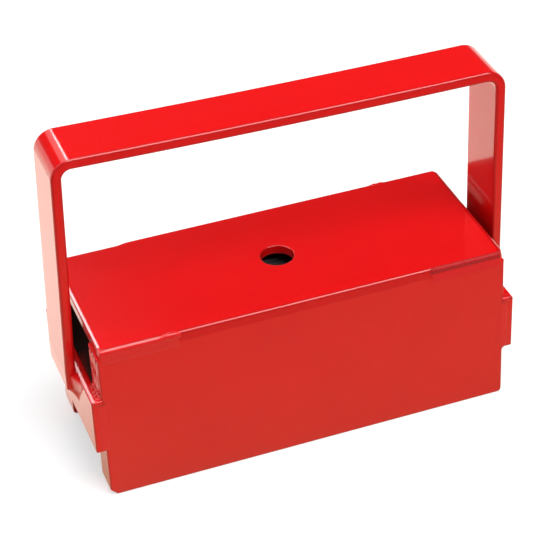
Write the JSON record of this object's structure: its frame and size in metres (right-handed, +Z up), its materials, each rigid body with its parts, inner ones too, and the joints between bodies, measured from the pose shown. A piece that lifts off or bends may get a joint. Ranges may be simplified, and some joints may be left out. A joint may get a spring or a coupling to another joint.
{
  "type": "handle magnet",
  "caption": "Lifting magnet: ferrite blocks between two steel pole plates under a welded top plate with a hole, and a bent flat strap handle. Red paint.",
  "frame": {"origin": "middle of the working face: the plane of both pole plates' lower edges, centred between the plates and their ends", "axes": "+Z up from the working face to the handle, X along the pole plates, +Y from the front plate (nearest in the picture) to the rear plate"},
  "size_m": [0.1394, 0.0512, 0.1073],
  "materials": {
    "red_paint": "glossy red enamel on steel",
    "weld_paint": "the same enamel on ground and rippled weld",
    "ferrite": "bare charcoal grey ferrite, satin"
  },
  "bodies": {
    "root": {"front_pole_plate": "red_paint", "rear_pole_plate": "red_paint", "top_plate": "red_paint", "left_end_bar": "red_paint", "right_end_bar": "red_paint", "handle": "red_paint", "left_foot_weld": "weld_paint", "right_foot_weld": "weld_paint", "top_weld_front_left": "weld_paint", "top_weld_front_right": "weld_paint", "top_weld_rear_left": "weld_paint", "top_weld_rear_right": "weld_paint", "bar_weld_front_left": "weld_paint", "bar_weld_front_right": "weld_paint", "bar_weld_rear_left": "weld_paint", "bar_weld_rear_right": "weld_paint", "magnet_left_lower_1": "ferrite", "magnet_left_lower_2": "ferrite", "magnet_left_lower_3": "ferrite", "magnet_left_lower_4": "ferrite", "magnet_left_upper_1": "ferrite", "magnet_left_upper_2": "ferrite", "magnet_left_upper_3": "ferrite", "magnet_left_upper_4": "ferrite", "magnet_right_lower_1": "ferrite", "magnet_right_lower_2": "ferrite", "magnet_right_lower_3": "ferrite", "magnet_right_lower_4": "ferrite", "magnet_right_upper_1": "ferrite", "magnet_right_upper_2": "ferrite", "magnet_right_upper_3": "ferrite", "magnet_right_upper_4": "ferrite"}
  },
  "joints": []
}
